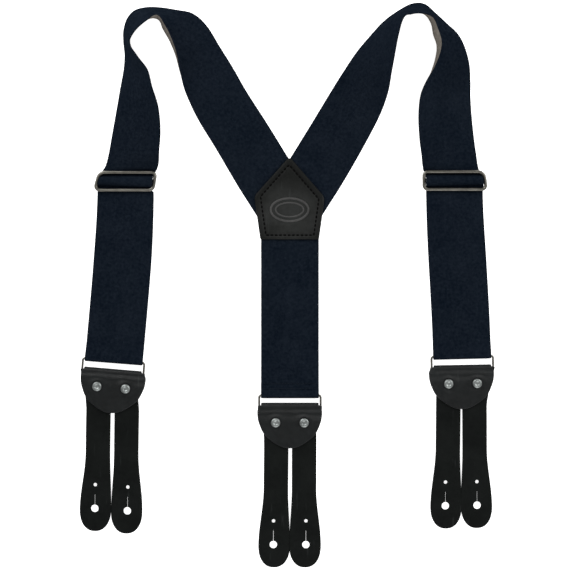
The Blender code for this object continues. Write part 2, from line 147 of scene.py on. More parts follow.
RIGHT_LOOP = (
    (3, 111, -32, 0, 0, 0, 1, HIGH),
    (22, 142, -32, 10, 0, 0),
    (39, 170, -34, 18, 0, 0),
    (51, 189, -35, 30, -5, 0),
    (62, 205, -38, 45, -10, 0),
    (73, 218, -42, 58, -10, 0),
    (85, 231, -58, 67, -10, 0),
    (97, 240, -73, 76.5, -5, 0),
    (110, 247, -102, 71, 0, 0),
    (121, 247, -106, 69, 8, 14),
    (130, 240, -112, 68, 30, 44),
    (140, 231, -131, 62, 56, 56),
    (151, 220.5, -147, 51, 52, 74),
    (157.2, 208.3, -159, 41, 50, 80),
    (160.9, 194, -167, 28, 32, 84),
    (161.8, 179, -175, 24, 20, 50),
    (161.8, 165, -177, 22, 10, 14),
    (163, 147, -178, 18, 5, 0),
    (165, 128, -179, 13, 0, 0, 0.99, LOW),
    (166.8, 115, -179, 8, 0, 0, 0.97, 0.9),
    (168.1, 105.5, -180, 3, 0, 0, 0.965, 1.6),
    (169.1, 101, -180, 0, 0, 0, 0.965, HIGH),
)
STATIONS = {"left": LEFT_LOOP, "right": RIGHT_LOOP}
MITRES = {"left": ((2, 60), (-25.7, 60)), "right": ((3, 60), (30.7, 60))}
LOOP_TOP = 8  # the station at the top of each loop, where the strap is split
ROWS_PER_STATION = 10
MITRE_ROWS = 16  # from the mitred end under the patch to the first station
# The webbing narrows as it passes its slide: (distance below the slide's middle, share of the
# full width, how far its middle lies from the slide's), in millimetres.
GATHER = {
    "left": (
        (-9.5, 0.93, 3.2), (-6.2, 0.905, 1.65), (-4, 0.918, 1.05), (0, 0.93, 0.2),
        (4, 0.942, -0.75), (6.2, 0.948, -1.2), (8, 0.975, 0), (75, 1, 0),
    ),
    "right": (
        (-9.5, 0.965, -3.2), (-6.2, 0.975, -0.9), (-4, 0.98, -0.8), (0, 0.988, -0.4),
        (4, 0.994, 0), (6.2, 0.996, 0.1), (8, 0.98, -0.3), (75, 1, 0),
    ),
}
# Corners of each slide's wire, moved sideways from a plain rectangle, and their radii: upper
# right, upper left, lower left, lower right (mm).
SLIDE_SKEW = {"left": (-0.6, 4.5, 0.0, -3.0), "right": (-1.8, 0.0, 0.1, 0.2)}
SLIDE_CORNERS = {"left": (3.2, 6.0, 3.6, 4.6), "right": (6.0, 3.4, 3.6, 3.6)}

PATCH_OUTLINE = ((2.5, 112.7), (-28.4, 78), (-23, 40), (28.5, 40), (33.6, 77))  # mm
PATCH_CORNERS = (3.0, 8.0, 1.6, 1.6, 9.0)  # their radii, mm
PATCH_SEAM_IN = (4.5, 5.4, 3.7, 4.9, 5.0)  # from each side, starting at the first corner, mm
PATCH_REACH = 30 * MM  # from its edge to its middle
PATCH_INNERMOST = 0.92  # share of that at its innermost ring of points
PATCH_RINGS = (  # the face's rings of points, from the edge inwards, mm
    0, 0.1, 0.25, 0.5, 0.8, 1.3, 2, 2.8, 3.6, 4.2, 4.7, 5.2, 5.8, 6.6, 7.6, 9, 11, 14, 18, 22, 26,
)
EMBLEM_Y = 66 * MM
EMBLEM_OVALS = ((16.5, 10.0, 1.0), (12.2, 6.2, 0.7))  # half width, half height, radius, mm
BACK_STRAP_TOP = 59.3 * MM
BACK_UNDER_PATCH, BACK_SETTLED = 24 * MM, 44 * MM  # it drops to the surface between these
BACK_RETURN = 22 * MM  # its end is turned up behind by this much
BACK_SEAMS = (6.0 * MM, 10.5 * MM)  # above the ring's bar

# The flap's outline: distance below the top of its fold, and half width there (mm).
FLAP_OUTLINE = (
    (4.9, 28.35),
    (8.5, 28.4),
    (14.0, 27.7),
    (19.5, 25.8),
    (24.4, 23.4),
    (29.2, 19.3),
    (34.4, 12.2),
    (37.4, 6.0),
    (38.3, 0.0),
)
FOLD_HALF = 25.3  # half width of the fold where it lies between the ring's sides
SHOULDER_HALF = 28.2  # and where it has cleared them
SHOULDER_CLEAR = 1.75 * MM  # middle of the leather above or below the wire where that is
FOLD_STRETCH = {"left": 1.3, "back": 1.8, "right": 1.3}  # how far the soft fold stands out
FLAP_SWELL = 1.1 * MM  # of the front leaf, between the fold and the rivets
FLAP_RIPPLE = 0.7 * MM
RIVET_DIMPLE = 0.25 * MM
FLAP_ASIDE = {"left": 0.9, "back": -0.2, "right": -1.0}  # below its fold, mm

# How far each tongue wanders sideways below its rivet: under the flap, and at its end (mm).
TONGUE_WANDER = {
    "left_outer": (1.5, 0.55),
    "left_inner": (1.4, 0.7),
    "back_left": (0.7, -0.45),
    "back_right": (0.1, -0.35),
    "right_inner": (0.0, -0.8),
    "right_outer": (-2.3, -1.2),
}
# Tongue outline, measured from its rivet. The spoon is its wide end.
SHANK_HALF = 10.75 * MM
SHANK_TOP = 9.2 * MM  # above the rivet, so that the flap has room to bend
SPOON_OUTER = 15.0 * MM
SPOON_INNER = {"left": 12.5 * MM, "back": 12.8 * MM, "right": 12.4 * MM}
SPOON_START = 58 * MM
SPOON_WIDEST = 108 * MM
TONGUE_END = 127.4 * MM
BUTTONHOLE_RADIUS = 3.3 * MM
BUTTONHOLE_ABOVE_END = 20 * MM
BUTTONHOLE_OUT = 1.8 * MM
SLIT_LENGTH = 9 * MM
SLIT_HALF = 0.14 * MM
STOP_HOLE_RADIUS = 1.55 * MM
STOP_HOLE_ABOVE = 20.8 * MM
TONGUE_DROOP = 2.3 * MM  # from under its flap down to the surface
TONGUE_WARP = 0.9 * MM
UNDER_FLAP = 26 * MM  # a flap covers its tongues down to here
SURFACE_GAP = 0.2 * MM  # the least height of a tongue's underside

# ---------------------------------------------------------------- camera, light and floor

CAMERA_HEIGHT = 1.48
CAMERA_Y = -0.0013
VIEW_WIDTH = 0.5042  # what the camera sees of the floor
SENSOR = 36.0
FLOOR_DROP = 0.4 * MM  # keeps the floor clear of what lies on it


def add(name, data):
    item = bpy.data.objects.new(name, data)
    bpy.context.scene.collection.objects.link(item)
    return item


def camera():
    lens = bpy.data.cameras.new("camera")
    lens.sensor_width = SENSOR
    lens.lens = SENSOR * CAMERA_HEIGHT / VIEW_WIDTH
    lens.clip_end = 20
    eye = add("camera", lens)
    eye.location = (0, CAMERA_Y, CAMERA_HEIGHT)
    bpy.context.scene.camera = eye


def softbox(name, location, size, energy):
    lamp = bpy.data.lights.new(name, "AREA")
    lamp.shape = "SQUARE"
    lamp.size = size
    lamp.energy = energy
    item = add(name, lamp)
    item.location = location
    item.rotation_euler = (-Vector(location)).to_track_quat("-Z", "Y").to_euler()


def studio():
    world = bpy.data.worlds.new("studio")
    world.use_nodes = True
    background = world.node_tree.nodes["Background"]
    background.inputs["Color"].default_value = (1, 1, 1, 1)
    background.inputs["Strength"].default_value = 0.55
    bpy.context.scene.world = world
    bpy.context.scene.view_settings.view_transform = "Standard"
    softbox("key", (-0.9, 1.1, 1.0), 0.9, 24)
    softbox("fill", (1.2, 0.7, 0.9), 0.9, 16)
    softbox("front", (0.2, -1.4, 0.9), 1.2, 16)
    floor_mesh = bpy.data.meshes.new("floor")
    plane = bmesh.new()
    bmesh.ops.create_grid(plane, x_segments=1, y_segments=1, size=3)
    plane.to_mesh(floor_mesh)
    plane.free()
    floor = add("floor", floor_mesh)
    floor.location.z = -FLOOR_DROP
    paper = bpy.data.materials.new("floor")
    paper.use_nodes = True
    shader = paper.node_tree.nodes["Principled BSDF"]
    shader.inputs["Base Color"].default_value = (0.93, 0.93, 0.93, 1)
    shader.inputs["Roughness"].default_value = 0.9
    shader.inputs["Specular IOR Level"].default_value = 0.1
    shader.inputs["Emission Color"].default_value = (1, 1, 1, 1)
    shader.inputs["Emission Strength"].default_value = 0.85
    floor_mesh.materials.append(paper)


# ---------------------------------------------------------------- materials


class Nodes:
    """Adds nodes to one new material and links them."""

    def __init__(self, name):
        self.material = bpy.data.materials.new(name)
        self.material.use_nodes = True
        self.tree = self.material.node_tree
        self.shader = self.tree.nodes["Principled BSDF"]

    def put(self, target, value):
        if isinstance(value, bpy.types.NodeSocket):
            self.tree.links.new(value, target)
        else:
            target.default_value = value

    def node(self, kind, inputs, **settings):
        item = self.tree.nodes.new(kind)
        for key, value in settings.items():
            setattr(item, key, value)
        for key, value in inputs.items():
            self.put(item.inputs[key], value)
        return item

    def math(self, operation, a, b=0.0):
        return self.node("ShaderNodeMath", {0: a, 1: b}, operation=operation).outputs[0]

    def total(self, *parts):
        """The sum of (value, weight) pairs."""
        terms = [self.math("MULTIPLY", value, weight) for value, weight in parts]
        out = terms[0]
        for term in terms[1:]:
            out = self.math("ADD", out, term)
        return out

    def noise(self, vector, scale, detail=4.0, roughness=0.55):
        inputs = {"Vector": vector, "Scale": scale, "Detail": detail, "Roughness": roughness}
        return self.node("ShaderNodeTexNoise", inputs).outputs["Fac"]

    def stretched(self, vector, scale, turn=0.0):
        inputs = {"Vector": vector, "Scale": scale, "Rotation": (0, 0, turn)}
        return self.node("ShaderNodeMapping", inputs).outputs["Vector"]

    def remap(self, value, low, high, to_low=0.0, to_high=1.0):
        inputs = {0: value, 1: low, 2: high, 3: to_low, 4: to_high}
        return self.node("ShaderNodeMapRange", inputs).outputs["Result"]

    def mix(self, factor, a, b):
        item = self.node("ShaderNodeMix", {}, data_type="RGBA")
        for socket, value in zip((0, 6, 7), (factor, a, b)):
            colour = isinstance(value, tuple)
            self.put(item.inputs[socket], (*value, 1) if colour else value)
        return item.outputs[2]

    def object_place(self):
        return self.node("ShaderNodeTexCoord", {}).outputs["Object"]

    def finish(self, colour, roughness, bump=None, strength=0.0, distance=0.0002, **constants):
        self.put(self.shader.inputs["Base Color"], colour)
        self.put(self.shader.inputs["Roughness"], roughness)
        if bump is not None:
            inputs = {"Height": bump, "Strength": strength, "Distance": distance}
            normal = self.node("ShaderNodeBump", inputs).outputs["Normal"]
            self.put(self.shader.inputs["Normal"], normal)
        for key, value in constants.items():
            self.shader.inputs[key.replace("_", " ")].default_value = value
        return self.material


def webbing_material(name, dark, light, fleck):
    """Woven elastic: ribs across, warp threads along, uneven dye and stray fibres."""
    n = Nodes(name)
    uv = n.node("ShaderNodeUVMap", {}, uv_map="weave").outputs["UV"]  # millimetres
    place = n.object_place()
    parts = n.node("ShaderNodeSeparateXYZ", {"Vector": uv})
    across, along = parts.outputs["X"], parts.outputs["Y"]
    warp_pitch, rib_pitch = 0.95, 1.2
    warp = n.math("SINE", n.math("MULTIPLY", across, 2 * math.pi / warp_pitch))
    stagger = n.math("MULTIPLY", n.math("ROUND", n.math("DIVIDE", across, warp_pitch)), math.pi)
    ribs = n.math("ADD", n.math("MULTIPLY", along, 2 * math.pi / rib_pitch), stagger)
    ribs = n.math("SINE", ribs)
    weave = n.math("MULTIPLY", n.math("ADD", warp, 1.2), n.math("ADD", ribs, 1.6))
    weave = n.math("MULTIPLY", weave, 0.17)
    clouds = n.noise(place, 34.0, 3.0)
    streaks = n.noise(n.stretched(uv, (0.4, 0.02, 1.0)), 3.0, 3.0)
    fibres = n.noise(place, 1100.0, 2.0, 0.7)
    mottle = n.math("SUBTRACT", n.noise(place, 420.0, 3.0, 0.6), 0.5)
    tone = n.total((weave, 0.4), (clouds, 0.6), (streaks, 0.3), (mottle, 1.3))
    colour = n.mix(n.remap(tone, 0.27, 1.13), dark, light)
    colour = n.mix(n.remap(fibres, 0.64, 0.78, 0.0, 0.5), colour, fleck)
    roughness = n.remap(clouds, 0.3, 0.7, 0.84, 0.96)
    height = n.total((weave, 1.0), (fibres, 0.25))
    return n.finish(colour, roughness, height, 0.8, 0.00025, Specular_IOR_Level=0.0)


def leather_material(name, dark, light, gloss, grain, specular, painted_shade_centre=None):
    """Finished hide: pores and creases, cloudy dye and faint pale scuffs.

    Given a centre point, painted shade darkens the colour from there towards the rim, in place of
    the shading of a pillowed border.
    """
    n = Nodes(name)
    place = n.object_place()
    pores = n.node("ShaderNodeTexVoronoi", {"Vector": place, "Scale": grain})
    pores.feature = "DISTANCE_TO_EDGE"
    depth = n.remap(pores.outputs["Distance"], 0.0, 0.12)
    clouds = n.noise(place, 45.0, 4.0)
    creases = n.noise(place, 260.0, 5.0, 0.65)
    scuffs = n.noise(n.stretched(place, (260.0, 34.0, 60.0), 0.6), 1.0, 2.0)
    tone = n.total((clouds, 1.0), (creases, 0.5))
    colour = n.mix(n.remap(tone, 0.5, 1.0), dark, light)
    # Painted shade: the colour darkens with distance from the given centre, towards the rim.
    if painted_shade_centre is not None:
        spread = n.node("ShaderNodeVectorMath", {0: place, 1: painted_shade_centre}, operation="DISTANCE")
        rim = n.remap(spread.outputs["Value"], 0.014, 0.032, 0.0, 0.9)
        colour = n.mix(rim, colour, (0.0022, 0.0026, 0.0022))
    scuffed = n.math("MULTIPLY", n.remap(scuffs, 0.66, 0.8, 0.0, 0.7), clouds)
    colour = n.mix(scuffed, colour, (0.03, 0.033, 0.033))
    roughness = n.remap(creases, 0.3, 0.7, gloss, gloss + 0.16)
    height = n.total((depth, 0.6), (creases, 0.8))
    return n.finish(colour, roughness, height, 0.3, 0.0002, Specular_IOR_Level=specular)


def edge_material(name, dark, light):
    """The cut edge of the hide: fibrous and dull."""
    n = Nodes(name)
    fibre = n.noise(n.object_place(), 800.0, 4.0, 0.7)
    colour = n.mix(n.remap(fibre, 0.35, 0.7), dark, light)
    roughness = n.remap(fibre, 0.3, 0.7, 0.75, 0.92)
    return n.finish(colour, roughness, fibre, 0.5, Specular_IOR_Level=0.08)


def metal_material(name, dark, light, smooth, dull):
    """Plated wire: satin, with cloudy tone, fine scratches and dull spots."""
    n = Nodes(name)
    place = n.object_place()
    clouds = n.noise(place, 160.0, 4.0)
    scratches = n.noise(n.stretched(place, (90.0, 1400.0, 1400.0), 0.3), 1.0, 3.0, 0.6)
    tone = n.total((clouds, 1.0), (scratches, 0.5))
    colour = n.mix(n.remap(tone, 0.45, 1.05), dark, light)
    roughness = n.remap(scratches, 0.3, 0.7, smooth, dull)
    return n.finish(colour, roughness, scratches, 0.15, 0.0001, Metallic=1.0)


def thread_material(name, dark, light):
    """Twisted sewing thread."""
    n = Nodes(name)
    inputs = {"Vector": n.object_place(), "Scale": 900.0, "Distortion": 3.0}
    twist = n.node("ShaderNodeTexWave", inputs).outputs["Fac"]
    colour, roughness = n.mix(twist, dark, light), n.remap(twist, 0, 1, 0.6, 0.8)
    return n.finish(colour, roughness, twist, 0.5, Specular_IOR_Level=0.04)


NAVY = webbing_material(
    "navy_webbing", (0.0022, 0.0040, 0.0074), (0.0094, 0.0130, 0.0190), (0.022, 0.032, 0.045)
)
BEIGE = webbing_material(
    "webbing_underside", (0.10, 0.090, 0.078), (0.175, 0.158, 0.140), (0.28, 0.26, 0.23)
)
# Its colour darkens from the given centre towards the patch's border: painted shade for the light
# falling off its pillowed face.
PATCH_HIDE = leather_material(
    "patch_leather", (0.0078, 0.0084, 0.0078), (0.0212, 0.0222, 0.0216), 0.46, 1500.0, 0.09,
    (0.00275, 0.062, 0.005),
)
# Paler than the patch's leather: painted highlight, for the light caught by the emblem's raised
# ovals.
EMBLEM_HIDE = leather_material(
    "patch_emblem_leather", (0.024, 0.024, 0.0235), (0.044, 0.044, 0.043), 0.4, 1500.0, 0.2
)
FLAP_HIDE = leather_material(
    "black_leather", (0.0014, 0.0020, 0.0021), (0.0046, 0.0058, 0.0061), 0.30, 1700.0, 0.2
)
TONGUE_HIDE = leather_material(
    "black_leather_tongue", (0.0014, 0.0019, 0.0017), (0.0043, 0.0052, 0.0048), 0.5, 1700.0, 0.06
)
CUT_EDGE = edge_material("cut_edge", (0.002, 0.002, 0.002), (0.006, 0.006, 0.0055))
GUNMETAL = metal_material("gunmetal", (0.075, 0.072, 0.063), (0.16, 0.154, 0.136), 0.3, 0.46)
NICKEL = metal_material("nickel", (0.14, 0.15, 0.147), (0.27, 0.29, 0.283), 0.34, 0.52)
THREAD = thread_material("black_thread", (0.0004, 0.0004, 0.0004), (0.0016, 0.0016, 0.0016))
NAVY_THREAD = thread_material("navy_thread", (0.003, 0.005, 0.008), (0.01, 0.014, 0.021))

# ---------------------------------------------------------------- mesh tools


def ease(t):
    t = min(max(t, 0.0), 1.0)
    return t * t * (3 - 2 * t)


def catmull_rom(points, per_span):
    """Points on a smooth curve through the given points, of any dimension."""
    last = len(points) - 1
    out = []
    for i in range(last):
        p0, p1, p2, p3 = (points[min(max(i + k, 0), last)] for k in (-1, 0, 1, 2))
        for step in range(per_span):
            t = step / per_span
            out.append(
                tuple(
                    0.5 * (2 * b + (c - a) * t + (2 * a - 5 * b + 4 * c - d) * t**2
                           + (3 * b - a - 3 * c + d) * t**3)
                    for a, b, c, d in zip(p0, p1, p2, p3)
                )
            )
    out.append(tuple(points[-1]))
    return out


def running_lengths(points, first=0.0):
    """The distance along a line of points at each of them."""
    lengths = [first]
    for before, after in zip(points, points[1:]):
        lengths.append(lengths[-1] + (after - before).length)
    return lengths


def span_at(lengths, distance):
    """The number of the span of a line of points that a distance along it falls in."""
    i = 0
    while i < len(lengths) - 2 and lengths[i + 1] < distance:
        i += 1
    return i


def piece(name, mesh, body, materials, node=None):
    """A finished visible piece on its body, in place of a CAD node if one is named."""
    for material in materials:
        mesh.materials.append(material)
    mesh.shade_smooth()
    mesh.set_sharp_from_angle(angle=math.radians(50))
    item = add(name, mesh)
    if body:
        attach(item, body)
    if node:
        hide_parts(node)
    return item


def to_mesh(name, shape):
    bmesh.ops.recalc_face_normals(shape, faces=shape.faces)
    mesh = bpy.data.meshes.new(name)
    shape.to_mesh(mesh)
    shape.free()
    return mesh


def leaf(name, grid, depth, normals, under, first_length=0.0):
    """A thick sheet from a grid of middle points, closed all round.

    depth gives half the thickness at each grid point, and where it is 0 the two faces meet.
    The lower face takes the material number in under. The UVs are distances in millimetres.
    """
    shape = bmesh.new()
    weave = shape.loops.layers.uv.new("weave")
    rows, columns = len(grid), len(grid[0])
    upper, lower = [], []
    for row, depths, row_normals in zip(grid, depth, normals):
        upper.append([])
        lower.append([])
        for point, half, normal in zip(row, depths, row_normals):
            top = shape.verts.new(point + normal * half)
            upper[-1].append(top)
            lower[-1].append(shape.verts.new(point - normal * half) if half > 0 else top)
    lengths = running_lengths([row[columns // 2] for row in grid], first_length)
    widths = [running_lengths(row) for row in grid]

    def face(corners, places, material):
        unique = []
        for corner, place in zip(corners, places):
            if corner not in [c for c, _ in unique]:
                unique.append((corner, place))
        if len(unique) < 3:
            return
        made = shape.faces.new([corner for corner, _ in unique])
        made.material_index = material
        for loop, (_, (i, j)) in zip(made.loops, unique):
            loop[weave].uv = (widths[i][j] / MM, lengths[i] / MM)

    for i in range(rows - 1):
        for j in range(columns - 1):
            places = [(i, j), (i + 1, j), (i + 1, j + 1), (i, j + 1)]
            face([upper[a][b] for a, b in places], places, 0)
            places = places[::-1]
            inside = RIM_COLUMNS <= j < columns - 1 - RIM_COLUMNS
            face([lower[a][b] for a, b in places], places, under if inside else 0)
    rim = [(0, j) for j in range(columns)] + [(i, columns - 1) for i in range(1, rows)]
    rim += [(rows - 1, j) for j in range(columns - 2, -1, -1)]
    rim += [(i, 0) for i in range(rows - 2, 0, -1)]
    for here, there in zip(rim, rim[1:] + rim[:1]):
        corners = [upper[here[0]][here[1]], upper[there[0]][there[1]]]
        corners += [lower[there[0]][there[1]], lower[here[0]][here[1]]]
        face(corners, [here, there, there, here], 0)
    return to_mesh(name, shape)


def grid_normals(grid, facing):
    """Normals of a grid of points; facing is +1 or -1 for the side that counts as the top."""
    rows, columns = len(grid), len(grid[0])
    out = []
    for i in range(rows):
        out.append([])
        for j in range(columns):
            across = grid[i][min(j + 1, columns - 1)] - grid[i][max(j - 1, 0)]
            along = grid[min(i + 1, rows - 1)][j] - grid[max(i - 1, 0)][j]
            out[-1].append(along.cross(across).normalized() * facing)
    return out


def rounding(distance, radius):
    """Share of the full thickness at a distance from a rounded edge."""
    inside = 1 - min(distance / radius, 1)
    return math.sqrt(max(1 - inside * inside, 0))


def bridge(shape, rings):
    """Joins closed rings of points, each to the next; a ring may be a single point."""
    for one, other in zip(rings, rings[1:]):
        steps = max(len(one), len(other))
        for k in range(steps):
            corners = [one[k % len(one)], one[(k + 1) % len(one)]]
            corners += [other[(k + 1) % len(other)], other[k % len(other)]]
            unique = list(dict.fromkeys(corners))
            if len(unique) > 2:
                shape.faces.new(unique)


def tube(shape, points, radius, closed, sides, flatten=1.0):
    """Adds a round wire along the points to a bmesh; flatten is its height over its width."""
    count = len(points)
    rings = []
    up = Vector((0, 0, 1))
    for i, point in enumerate(points):
        before = points[i - 1] if closed or i else point
        after = points[(i + 1) % count] if closed or i < count - 1 else point
        ahead = (after - before).normalized()
        side = ahead.cross(up)
        side = side.normalized() if side.length > 1e-4 else Vector((1, 0, 0))
        over = side.cross(ahead)
        thick = radius[i] if isinstance(radius, list) else radius
        ring = []
        for k in range(sides):
            angle = 2 * math.pi * k / sides
            offset = side * math.cos(angle) + over * math.sin(angle) * flatten
            ring.append(shape.verts.new(point + offset * thick))
        rings.append(ring)
    bridge(shape, rings + rings[:1] if closed else rings)
    if not closed:
        shape.faces.new(rings[0][::-1])
        shape.faces.new(rings[-1])


def turned(shape, profile, centre):
    """Adds a piece turned about Z from its profile (radius, height in mm), top to bottom."""
    steps = 40
    rings = []
    for radius, height in profile:
        if radius == 0:
            rings.append([shape.verts.new(centre + Vector((0, 0, height * MM)))])
            continue
        ring = []
        for k in range(steps):
            angle = 2 * math.pi * k / steps
            spot = Vector((math.cos(angle), math.sin(angle), 0)) * radius + Vector((0, 0, height))
            ring.append(shape.verts.new(centre + spot * MM))
        rings.append(ring)
    bridge(shape, rings)


def wire_piece(name, points, radius, closed, sides, body, node):
    """A gunmetal wire along the points, in place of its CAD node."""
    shape = bmesh.new()
    tube(shape, points, radius, closed, sides)
    piece(name, to_mesh(name, shape), body, [GUNMETAL], node)


def stitches(name, runs, pitch, length, radius, material, closed=False, sink=0.5):
    """Sewn thread: short arched bars along each run of points, with their ends in the material."""
    shape = bmesh.new()
    for points in runs:
        points = points + points[:1] if closed else points
        lengths = running_lengths(points)
        total = lengths[-1]
        count = max(int(round(total / pitch)), 1)

        def at(distance):
            i = span_at(lengths, distance)
            share = (distance - lengths[i]) / max(lengths[i + 1] - lengths[i], 1e-9)
            return points[i].lerp(points[i + 1], share)

        for k in range(count):
            middle = total * (k + 0.5) / count
            start, end = at(middle - length / 2), at(middle + length / 2)
            skew = Vector((random.uniform(-1, 1), random.uniform(-1, 1), 0)) * STITCH_SKEW
            bar = []
            for step in range(7):
                t = step / 6
                arch = math.sin(math.pi * t) ** 0.6
                drop = Vector((0, 0, -sink * MM * (1 - arch)))
                bar.append(start.lerp(end, t) + drop + skew * (2 * t - 1))
            tube(shape, bar, radius, False, 8)
    piece(name, to_mesh(name, shape), "webbing", [material])


# ---------------------------------------------------------------- webbing rows


def edge_shares():
    """Places across the webbing: close together at the rounded selvedges."""
    near = [0, 0.07, 0.2, 0.4, 0.7, 1.2, 2.0, 3.0]
    near = [distance * MM / WEB_WIDTH for distance in near]
    inner = 15
    middle = [near[-1] + (1 - 2 * near[-1]) * k / inner for k in range(1, inner)]
    return near + middle + [1 - share for share in reversed(near)]


SHARES = edge_shares()


def curled_row(x, y, heading, lean, curl, tuck, share, height):
    """A row across the webbing that starts on its outer edge, and leans and curls inwards."""
    spot = Vector((x * MM, y * MM, height * MM))
    across = Vector((math.cos(math.radians(heading)), math.sin(math.radians(heading)), 0))
    row = [spot]
    for before, after in zip(SHARES, SHARES[1:]):
        steps = 6
        for k in range(steps):
            way = before + (after - before) * (k + 0.5) / steps
            slope = math.radians(lean + curl * (way - 0.5) + tuck * way**5)
            step = across * math.cos(slope) + Vector((0, 0, math.sin(slope)))
            spot = spot + step * WEB_WIDTH * share * (after - before) / steps
        row.append(spot)
    return row


def flat_row(spot, turn, height, outer_side, width=WEB_WIDTH):
    """A level row, from the outer edge (-1 left, +1 right) to the inner edge."""
    across = Vector((math.cos(turn), math.sin(turn), 0)) * -outer_side
    middle = Vector((spot.x, spot.y, height))
    return [middle + across * width * (share - 0.5) for share in SHARES]


def leg_path(start, end, end_turn):
    """A plan path that leaves start straight down and reaches end along end_turn.

    Returns its length, and a function from the distance along it to a point and a turn.
    """
    slant = math.radians(end_turn)
    reach = (end - start).length / 3
    leave = start - Vector((0, reach))
    arrive = end + Vector((-math.sin(slant), math.cos(slant))) * reach
    samples = 64
    points = []
    for i in range(samples + 1):
        t = i / samples
        near = start * (1 - t) ** 3 + leave * 3 * t * (1 - t) ** 2
        points.append(near + arrive * 3 * t**2 * (1 - t) + end * t**3)
    lengths = running_lengths(points)

    def at(distance):
        i = span_at(lengths, distance)
        run = points[i + 1] - points[i]
        spot = points[i] + run.normalized() * (distance - lengths[i])
        return spot, math.atan2(run.x, -run.y)

    return lengths[-1], at


def arc(centre, radius, first, last, steps):
    """Points (distance, height) on an arc in the side view, angles in degrees."""
    out = []
    for i in range(steps + 1):
        angle = math.radians(first + (last - first) * i / steps)
        out.append((centre[0] + radius * math.cos(angle), centre[1] + radius * math.sin(angle)))
    return out


def straight(first, last, height):
    """Side view of a level stretch."""
    steps = max(int(abs(last - first) / ALONG_STEP), 1)
    return [(first + (last - first) * i / steps, height) for i in range(steps + 1)]


def over_slide_bar(level):
    """Side view of the front ply: under the frame, over the sewn loop, under the frame."""
    radius = SLIDE_BAR + 2 * GAP + WEB_THICK * 1.5
    climb = [(-9.5, 2.35), (-6.4, 2.35), (-5.0, 2.7), (-3.9, level / MM - 1.2)]
    climb = [(distance * MM, height * MM) for distance, height in climb]
    drop = [(-distance, height) for distance, height in reversed(climb)]
    return catmull_rom(climb + arc((0, level), radius, 180, 0, 6) + drop, 4)


def near_ring(length, level, end_level):
    """Side view of a ply as it settles from its ring, which is at length, to its own level."""
    steps = 10
    out = []
    for i in range(steps + 1):
        height = level + (end_level - level) * ease(1 - i / steps)
        out.append((length - RING_REACH * i / steps, height))
    return out


def down_to_ring(length, first):
    """Side view of the upper ply, from a distance along the strap down to the ring."""
    rise = near_ring(length, HIGH_PLY, RING_LEVEL + RING_WIRE + GAP + WEB_THICK / 2)
    return straight(first, length - RING_REACH, HIGH_PLY)[:-1] + rise[::-1]


def round_ring(length):
    """Side view of the turn round the ring's upper bar."""
    radius = RING_WIRE + GAP + WEB_THICK / 2
    return arc((length, RING_LEVEL), radius, 90, -90, 14)[1:-1]


def up_from_ring(length, last):
    """Side view of the lower ply, from the ring back up to a distance along the strap."""
    fall = near_ring(length, LOW_PLY, RING_LEVEL - RING_WIRE - GAP - WEB_THICK / 2)
    return fall + straight(length - RING_REACH, last, LOW_PLY)[1:]


def cut(profile, low, high):
    """The part of a side-view profile between two distances, ending exactly on them."""
    out = []
    for (d0, h0), (d1, h1) in zip(profile, profile[1:]):
        for limit in (low, high):
            if min(d0, d1) < limit < max(d0, d1):
                share = (limit - d0) / (d1 - d0)
                out.append((limit, h0 + (h1 - h0) * share))
        if low <= d1 <= high:
            out.append((d1, h1))
    if low <= profile[0][0] <= high:
        out.insert(0, profile[0])
    descending = profile[-1][0] < profile[0][0]
    return sorted(out, reverse=descending)


def webbing_piece(name, grid, facing, node, body, first_length=0.0):
    """One length of webbing with rounded selvedges.

    Returns the piece, and the length of the strap up to its end.
    """
    depth = []
    for row in grid:
        width = (row[-1] - row[0]).length
        full = []
        for share in SHARES:
            near = min(share, 1 - share) * max(width, WEB_WIDTH * 0.5)
            bead = 1 + SELVEDGE_BEAD * math.exp(-((near - 1.3 * MM) / (0.6 * MM)) ** 2)
            full.append(WEB_THICK / 2 * rounding(near, SELVEDGE_ROUND) * bead)
        depth.append(full)
    mesh = leaf(name, grid, depth, grid_normals(grid, facing), 1, first_length)
    strip = piece(name, mesh, body, [NAVY, BEIGE], node)
    length = running_lengths([row[len(SHARES) // 2] for row in grid])[-1]
    return strip, first_length + length


def gathered(side, distance):
    """Share of the full width and sideways shift of the webbing, below the slide's middle."""
    table = GATHER[side]
    for (d0, share0, aside0), (d1, share1, aside1) in zip(table, table[1:]):
        if distance <= d1 * MM:
            t = ease((distance / MM - d0) / (d1 - d0))
            return share0 + (share1 - share0) * t, (aside0 + (aside1 - aside0) * t) * MM
    return 1.0, 0.0


def centre_of(node):
    low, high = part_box(node)
    return (low + high) / 2


